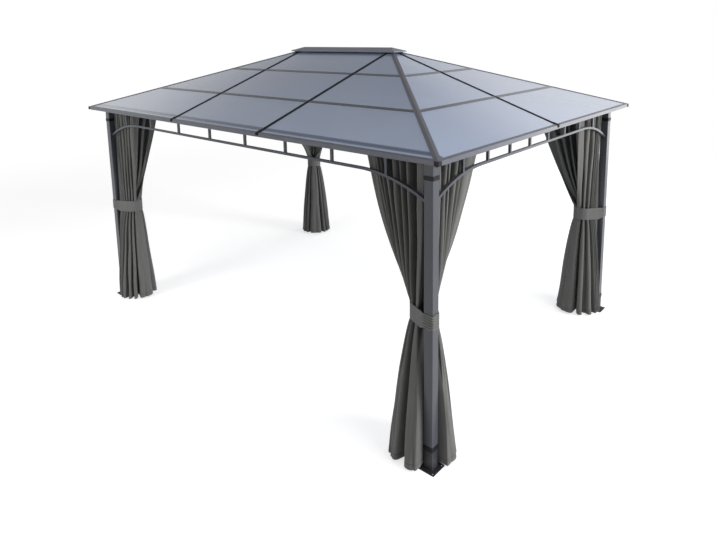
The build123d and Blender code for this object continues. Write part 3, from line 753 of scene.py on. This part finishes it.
def make_strap(corner, seed):
    """A strap round one post and its two curtains."""
    width = TIE_TOP - TIE_BOTTOM
    stations = [along_loop(LOOP, column / STRAP_COLUMNS) for column in range(STRAP_COLUMNS)]
    bm = bmesh.new()
    cut = bm.loops.layers.uv.new("cut")
    bmesh.ops.create_grid(bm, x_segments=STRAP_COLUMNS, y_segments=STRAP_ROWS, size=0.5)
    seam_and_groove_shade = bm.verts.layers.float.new("seam_and_groove_shade")
    for vert in bm.verts:
        share, up = vert.co.x + 0.5, vert.co.y + 0.5
        place, outward = stations[round(share * STRAP_COLUMNS) % STRAP_COLUMNS]
        turn = 2 * math.pi * share
        wobble = noise.noise(Vector((math.cos(turn) * WOBBLES, math.sin(turn) * WOBBLES, seed + up)))
        row = STRAP_RIBS * up + RIB_WANDER * wobble
        rib = abs(math.sin(math.pi * row))
        for loop_corner in vert.link_loops:
            loop_corner[cut].uv = (share, row * width / STRAP_RIBS)
        off_post = max(place.x, place.y) - HALF_POST - STRAP_ROUND
        tight = min(max(1 - off_post / EASE, LEAST_TIGHT), 1.0)
        # How much the dark seam rows show, which on the strap are also painted shade in its grooves:
        # most where it is tight.
        vert[seam_and_groove_shade] = tight
        pucker = PUCKER * tight * (1 - up)
        place = place + outward * (RIB_HEIGHT * rib * tight + WOBBLE_HEIGHT * wobble)
        vert.co = at_corner(corner, place, TIE_BOTTOM + pucker + up * width)
    bmesh.ops.remove_doubles(bm, verts=bm.verts, dist=MERGE_WITHIN)
    bmesh.ops.recalc_face_normals(bm, faces=bm.faces)
    piece = finish_piece(f"{corner}_tie_strap", bm, tie_cloth)
    wall = piece.modifiers.new("cloth", "SOLIDIFY")
    wall.thickness = CLOTH_MM * MM
    wall.offset = 1.0
    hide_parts("tie_straps")
    return piece


straps = [make_strap(corner, STRAP_SEED * number) for number, corner in enumerate(CORNERS)]
print("straps tied:", len(straps))

# %% [markdown]
# ## Floor and background
# The gazebo stands on a plain pale floor that fades to the white of the background, so there is no
# horizon. The floor keeps its soft shadows: it is a matt surface with a little light of its own that
# only the camera and reflections see. The camera sees the background as plain white. Reflections see
# white walls and a dimmer ceiling: the sheets mirror the walls at their far ends and the ceiling nearer
# by, and that shades the roof from pale to dark.

# %% Studio floor and world
FLOOR_RADIUS = 30.0
FADE_START = 4.0
FADE_END = 11.0
FLOOR_PAINT = "#dcdcdc"
FLOOR_GLOW = 0.64


def studio_floor():
    """Round floor whose paint turns to the background's white away from the middle."""
    material, tree, output = start_material("painted_studio_floor")
    place = add(tree, "TexCoord").outputs["Object"]
    distance = add(tree, "VectorMath", {"operation": "LENGTH"}, {0: place})
    fade = add(tree, "MapRange", {"interpolation_type": "SMOOTHSTEP"}, {
        "Value": distance.outputs["Value"], "From Min": FADE_START, "From Max": FADE_END})
    path = add(tree, "LightPath")
    seen = add(tree, "Math", {"operation": "MAXIMUM"},
               {0: path.outputs["Is Camera Ray"], 1: path.outputs["Is Glossy Ray"]})
    seen_through = add(tree, "Math", {"operation": "MAXIMUM"},
                       {0: seen.outputs[0], 1: path.outputs["Is Transmission Ray"]})
    paint = add(tree, "BsdfDiffuse", inputs={"Color": to_linear(FLOOR_PAINT)})
    glow = add(tree, "Emission", inputs={"Color": (1, 1, 1, 1), "Strength": FLOOR_GLOW})
    near = add(tree, "AddShader", inputs={0: paint.outputs[0], 1: glow.outputs[0]})
    white = add(tree, "Emission", inputs={"Color": (1, 1, 1, 1), "Strength": 1.0})
    blend = add(tree, "MixShader", inputs={0: fade.outputs[0], 1: near.outputs[0], 2: white.outputs[0]})
    both = add(tree, "MixShader", inputs={
        0: seen_through.outputs[0], 1: paint.outputs[0], 2: blend.outputs[0]})
    tree.links.new(both.outputs[0], output.inputs[0])
    bm = bmesh.new()
    bmesh.ops.create_circle(bm, cap_ends=True, segments=96, radius=FLOOR_RADIUS)
    mesh = bpy.data.meshes.new("studio_floor")
    bm.to_mesh(mesh)
    bm.free()
    floor = bpy.data.objects.new("studio_floor", mesh)
    mesh.materials.append(material)
    bpy.context.scene.collection.objects.link(floor)


studio_floor()

AMBIENT = 0.24
WALL_TOP = 0.35
CEILING_FROM = 0.46
CEILING = 0.3
world = bpy.data.worlds.new("white_studio")
world.use_nodes = True
bpy.context.scene.world = world
sky = world.node_tree
sky.nodes.clear()
path = add(sky, "LightPath")
way = add(sky, "SeparateXYZ", inputs={0: add(sky, "TexCoord").outputs["Generated"]})
mirrored = add(sky, "MapRange", {"interpolation_type": "SMOOTHSTEP"}, {
    "Value": way.outputs["Z"], "From Min": WALL_TOP, "From Max": CEILING_FROM,
    "To Min": 1.0, "To Max": CEILING})
glints = add(sky, "Math", {"operation": "MAXIMUM"},
             {0: path.outputs["Is Glossy Ray"], 1: path.outputs["Is Transmission Ray"]})
soft = add(sky, "Background", inputs={"Color": (1, 1, 1, 1), "Strength": AMBIENT})
walls = add(sky, "Background", inputs={"Color": (1, 1, 1, 1), "Strength": mirrored.outputs[0]})
white = add(sky, "Background", inputs={"Color": (1, 1, 1, 1), "Strength": 1.0})
indirect = add(sky, "MixShader", inputs={0: glints.outputs[0], 1: soft.outputs[0], 2: walls.outputs[0]})
either = add(sky, "MixShader", inputs={
    0: path.outputs["Is Camera Ray"], 1: indirect.outputs[0], 2: white.outputs[0]})
sky_output = sky.nodes.new("ShaderNodeOutputWorld")
sky.links.new(either.outputs[0], sky_output.inputs[0])
print("white studio with ambient", AMBIENT)

# %% [markdown]
# ## Light
# The right hand faces of the posts are pale and the front faces are dark, so the main light is a big
# soft one far away on the right. Two lamps above the roof are there for the sheets, because the roof
# shades the cloth below it. A soft one in front and a small one near the left corner light the folds
# that face the camera, and a low one behind on the right gives the rails there their pale faces. A soft
# one at the back keeps that side readable from behind. No lamp shows in the picture, and two stay out of
# reflections too, because they would leave bright spots on the trim and the sheets.


# %% Lamps
def area_lamp(name, at, aim, size, power, mirrored=True):
    """A square soft lamp that points at a place, and may show in reflections."""
    data = bpy.data.lights.new(name, "AREA")
    data.energy = power
    data.size = size
    lamp = bpy.data.objects.new(name, data)
    lamp.location = at
    lamp.rotation_mode = "QUATERNION"
    lamp.rotation_quaternion = (Vector(aim) - Vector(at)).to_track_quat("-Z", "Y")
    lamp.visible_camera = False
    lamp.visible_glossy = mirrored
    bpy.context.scene.collection.objects.link(lamp)


area_lamp("key_right", (28.0, 8.0, 5.5), (0.0, -0.3, 1.2), 11.0, 8000)
area_lamp("roof_right", (6.0, -1.0, 4.6), (1.5, -0.3, 2.2), 3.0, 140)
area_lamp("roof_top", (0.0, -1.0, 8.0), (0.0, 0.0, 2.0), 6.0, 60)
area_lamp("fill_front", (-1.0, -8.5, 3.0), (0.0, 0.0, 1.2), 4.0, 160)
area_lamp("fill_left", (-2.2, -4.5, 1.3), (-2.0, -1.4, 1.0), 0.9, 52, mirrored=False)
area_lamp("rim_back", (5.0, 7.5, 1.6), (2.0, 0.5, 1.6), 3.0, 75)
area_lamp("fill_back", (0.0, 9.0, 3.5), (0.0, 0.0, 1.2), 4.0, 130, mirrored=False)
print("lamps:", len(bpy.data.lights))

# %% [markdown]
# ## Camera
# The camera stands at the photograph's place: near the front right corner, a little above the ridge.
# Its picture is shifted down, as with a shift lens, because the photograph looks almost level and still
# shows the feet.

# %% Camera at the photograph's angle
IMAGE_WIDTH = 716
SENSOR_MM = 36.0
FOCAL_PIXELS = 591.57
SHIFT_PIXELS = 140
CAMERA_AT = (3.9352, -4.2193, 2.7493)
YAW, PITCH, ROLL = (math.radians(angle) for angle in (41.918, 9.457, -0.997))

forward = Vector((-math.sin(YAW) * math.cos(PITCH), math.cos(YAW) * math.cos(PITCH), -math.sin(PITCH)))
level = Vector((math.cos(YAW), math.sin(YAW), 0.0))
upward = level.cross(forward)
right = level * math.cos(ROLL) + upward * math.sin(ROLL)
up = upward * math.cos(ROLL) - level * math.sin(ROLL)
lens = bpy.data.cameras.new("photograph_view")
lens.sensor_width = SENSOR_MM
lens.lens = FOCAL_PIXELS / IMAGE_WIDTH * SENSOR_MM
lens.shift_y = -SHIFT_PIXELS / IMAGE_WIDTH
camera = bpy.data.objects.new("photograph_view", lens)
camera.matrix_world = Matrix.Translation(CAMERA_AT) @ Matrix((right, up, -forward)).transposed().to_4x4()
bpy.context.scene.collection.objects.link(camera)
bpy.context.scene.camera = camera
bpy.context.scene.view_settings.view_transform = "Standard"
print("camera at", CAMERA_AT)
